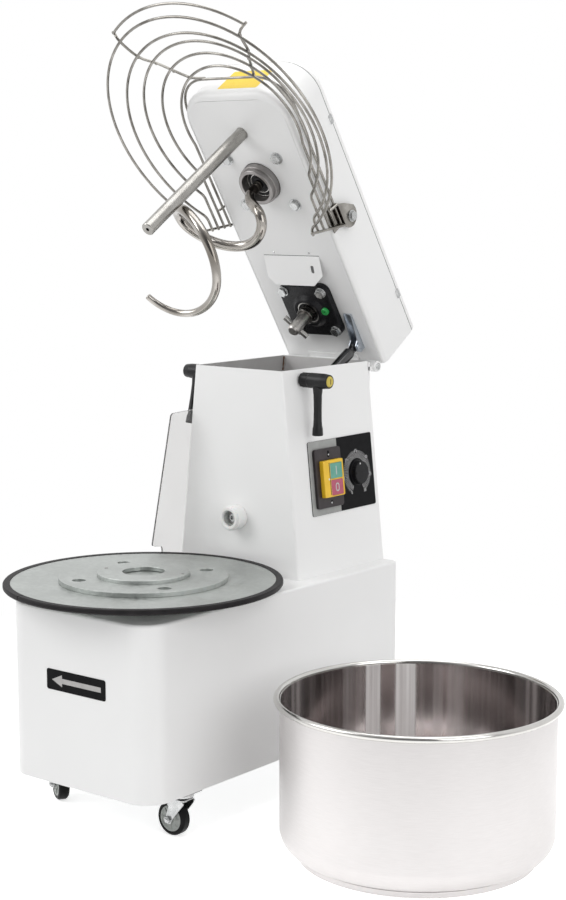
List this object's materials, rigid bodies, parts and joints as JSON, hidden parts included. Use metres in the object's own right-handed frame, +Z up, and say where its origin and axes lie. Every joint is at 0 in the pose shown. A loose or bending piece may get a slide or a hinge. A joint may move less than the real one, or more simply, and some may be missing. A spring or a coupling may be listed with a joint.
{
  "type": "spiral dough mixer",
  "caption": "Floor-standing spiral dough mixer on casters with its head tilted up, wire bowl guard raised with it, turntable exposed, and the stainless bowl lifted off and standing alongside.",
  "frame": {"origin": "point on the floor straight under the turntable's axis", "axes": "+Z up along the turntable axis, -Y to the mixer's front, +X to the operator's right as they face it from the front; the head hinges about X at the back"},
  "size_m": [0.9904, 0.9022, 1.4082],
  "materials": {
    "white_paint": "satin white powder coat",
    "zinc_plate": "galvanised, matt with a fine spangle",
    "stainless": "polished stainless",
    "bowl_steel": "satin stainless outside, bright rim",
    "machined_steel": "turned, lightly oiled",
    "cast_black": "black enamel",
    "black_plastic": "matt moulded",
    "rubber_edge": "matt",
    "tyre": "matt tread with a grey hub",
    "white_nylon": "turned nylon",
    "clear_plastic": "clear acrylic",
    "panel_black": "printed overlay",
    "switch_yellow": "moulded",
    "button_green": "moulded",
    "button_red": "moulded",
    "motor_grey": "grey enamel"
  },
  "bodies": {
    "frame": {"base_shell": "white_paint", "base_floor": "zinc_plate", "arrow_plate": "panel_black", "column_shell": "white_paint", "side_shield": "clear_plastic", "bumper": "white_nylon", "control_plate": "panel_black", "switch_frame": "black_plastic", "switch_body": "switch_yellow", "column_hinge": "zinc_plate", "column_studs": "zinc_plate", "drive_motor": "motor_grey", "bearing_housings": "cast_black", "drive_bands": "rubber_edge", "caster_plates": "zinc_plate", "cable_gland": "black_plastic"},
    "turntable": {"turntable_plate": "zinc_plate", "turntable_edging": "rubber_edge", "bowl_flange": "zinc_plate", "bowl_hub": "zinc_plate", "turntable_shaft": "machined_steel"},
    "main_drive": {"main_shaft": "machined_steel", "coupling_cup": "machined_steel"},
    "motor_rotor": {"motor_pulley": "machined_steel"},
    "head": {"head_shell": "white_paint", "head_plate": "white_paint", "head_cover": "white_paint", "deflector_flap": "white_paint", "spiral_housing": "machined_steel", "head_bolts": "zinc_plate", "breaker_bar": "stainless", "flange_bearing": "cast_black", "head_hinge": "zinc_plate", "strut_bracket": "zinc_plate", "guard_pivots": "stainless", "head_chain": "cast_black"},
    "input_drive": {"input_shaft": "machined_steel"},
    "spiral": {"spiral_shaft": "machined_steel", "spiral_hook": "stainless"},
    "guard": {"guard_wires": "stainless", "guard_ladders": "stainless"},
    "strut_tube": {"strut_cylinder": "black_plastic"},
    "strut_piston": {"strut_rod": "stainless"},
    "clamp_right": {"lever_right": "black_plastic"},
    "clamp_left": {"lever_left": "black_plastic"},
    "start": {"start_button": "button_green"},
    "stop": {"stop_button": "button_red"},
    "timer": {"timer_knob": "black_plastic"},
    "bowl": {"bowl_shell": "bowl_steel", "bowl_foot": "bowl_steel"},
    "fork_fr": {"caster_fork_fr": "zinc_plate"},
    "wheel_fr": {"caster_wheel_fr": "tyre"},
    "fork_fl": {"caster_fork_fl": "zinc_plate"},
    "wheel_fl": {"caster_wheel_fl": "tyre"},
    "fork_rr": {"caster_fork_rr": "zinc_plate"},
    "wheel_rr": {"caster_wheel_rr": "tyre"},
    "fork_rl": {"caster_fork_rl": "zinc_plate"},
    "wheel_rl": {"caster_wheel_rl": "tyre"},
    "pedal_fr": {"brake_pedal_fr": "black_plastic"},
    "pedal_fl": {"brake_pedal_fl": "black_plastic"}
  },
  "joints": [
    {"name": "turntable_spin", "type": "hinge", "parent": "frame", "child": "turntable", "pos_m": [0, 0, 0.4], "axis": [0, 0, 1], "continuous": true},
    {"name": "main_shaft_spin", "type": "hinge", "parent": "frame", "child": "main_drive", "pos_m": [0, 0.4195, 0.5], "axis": [0, 0, 1], "continuous": true},
    {"name": "motor_spin", "type": "hinge", "parent": "frame", "child": "motor_rotor", "pos_m": [-0.02, 0.33, 0.6], "axis": [0, 0, 1], "continuous": true},
    {"name": "head_tilt", "type": "hinge", "parent": "frame", "child": "head", "pos_m": [0, 0.547, 0.755], "axis": [1, 0, 0], "range_deg": [0, 56.4]},
    {"name": "input_shaft_spin", "type": "hinge", "parent": "head", "child": "input_drive", "pos_m": [0, 0.48769, 0.86867], "axis": [0, 0.8329, 0.5534], "continuous": true},
    {"name": "spiral_spin", "type": "hinge", "parent": "head", "child": "spiral", "pos_m": [0, 0.32997, 1.10605], "axis": [0, 0.8329, 0.5534], "continuous": true},
    {"name": "guard_swing", "type": "hinge", "parent": "head", "child": "guard", "pos_m": [0, 0.43138, 1.04377], "axis": [-1, 0, 0], "range_deg": [0, 85]},
    {"name": "strut_pivot", "type": "hinge", "parent": "head", "child": "strut_tube", "pos_m": [0.076, 0.51946, 0.79373], "axis": [1, 0, 0], "range_deg": [-75, 5]},
    {"name": "strut_stroke", "type": "slide", "parent": "strut_tube", "child": "strut_piston", "axis": [0, -0.8574, -0.5146], "range_m": [-0.045, 0.002]},
    {"name": "clamp_right_turn", "type": "hinge", "parent": "frame", "child": "clamp_right", "pos_m": [0.14, 0.313, 0.748], "axis": [-1, 0, 0], "range_deg": [-45, 60]},
    {"name": "clamp_left_turn", "type": "hinge", "parent": "frame", "child": "clamp_left", "pos_m": [-0.14, 0.313, 0.748], "axis": [-1, 0, 0], "range_deg": [-58, 46]},
    {"name": "start_press", "type": "slide", "parent": "frame", "child": "start", "axis": [-0.9943, 0, -0.1065], "range_m": [0, 0.003], "stiffness_N_per_m": 200, "springref_m": -0.003},
    {"name": "stop_press", "type": "slide", "parent": "frame", "child": "stop", "axis": [-0.9943, 0, -0.1065], "range_m": [0, 0.003], "stiffness_N_per_m": 200, "springref_m": -0.003},
    {"name": "timer_turn", "type": "hinge", "parent": "frame", "child": "timer", "pos_m": [0.13034, 0.459, 0.56153], "axis": [0.9943, 0, 0.1065], "range_deg": [0, 300]},
    {"name": "bowl_lift", "type": "slide", "parent": "frame", "child": "bowl", "axis": [0, 0, 1], "range_m": [0, 0.3]},
    {"name": "swivel_fr", "type": "hinge", "parent": "frame", "child": "fork_fr", "pos_m": [0.1515, -0.072, 0.07], "axis": [0, 0, 1], "continuous": true},
    {"name": "roll_fr", "type": "hinge", "parent": "fork_fr", "child": "wheel_fr", "pos_m": [0.1315, -0.072, 0.03], "axis": [0, -1, 0], "continuous": true},
    {"name": "brake_fr", "type": "hinge", "parent": "fork_fr", "child": "pedal_fr", "pos_m": [0.1155, -0.072, 0.061], "axis": [0, -1, 0], "range_deg": [0, 14]},
    {"name": "swivel_fl", "type": "hinge", "parent": "frame", "child": "fork_fl", "pos_m": [-0.1345, -0.072, 0.07], "axis": [0, 0, 1], "continuous": true},
    {"name": "roll_fl", "type": "hinge", "parent": "fork_fl", "child": "wheel_fl", "pos_m": [-0.15182, -0.062, 0.03], "axis": [-0.5, -0.866, 0], "continuous": true},
    {"name": "brake_fl", "type": "hinge", "parent": "fork_fl", "child": "pedal_fl", "pos_m": [-0.16568, -0.054, 0.061], "axis": [-0.5, -0.866, 0], "range_deg": [0, 14]},
    {"name": "swivel_rr", "type": "hinge", "parent": "frame", "child": "fork_rr", "pos_m": [0.1515, 0.411, 0.07], "axis": [0, 0, 1], "continuous": true},
    {"name": "roll_rr", "type": "hinge", "parent": "fork_rr", "child": "wheel_rr", "pos_m": [0.13337, 0.40255, 0.03], "axis": [0.4226, -0.9063, 0], "continuous": true},
    {"name": "swivel_rl", "type": "hinge", "parent": "frame", "child": "fork_rl", "pos_m": [-0.1345, 0.411, 0.07], "axis": [0, 0, 1], "continuous": true},
    {"name": "roll_rl", "type": "hinge", "parent": "fork_rl", "child": "wheel_rl", "pos_m": [-0.15382, 0.41618, 0.03], "axis": [-0.2588, -0.9659, 0], "continuous": true}
  ],
  "couplings": [
    {"joint": "main_shaft_spin", "follows": "turntable_spin", "ratio": 5},
    {"joint": "motor_spin", "follows": "turntable_spin", "ratio": 12},
    {"joint": "input_shaft_spin", "follows": "turntable_spin", "ratio": 5},
    {"joint": "spiral_spin", "follows": "turntable_spin", "ratio": 8},
    {"joint": "strut_pivot", "follows": "head_tilt", "ratio": -1.1016},
    {"joint": "strut_stroke", "follows": "head_tilt", "m_per_rad": -0.037194}
  ]
}
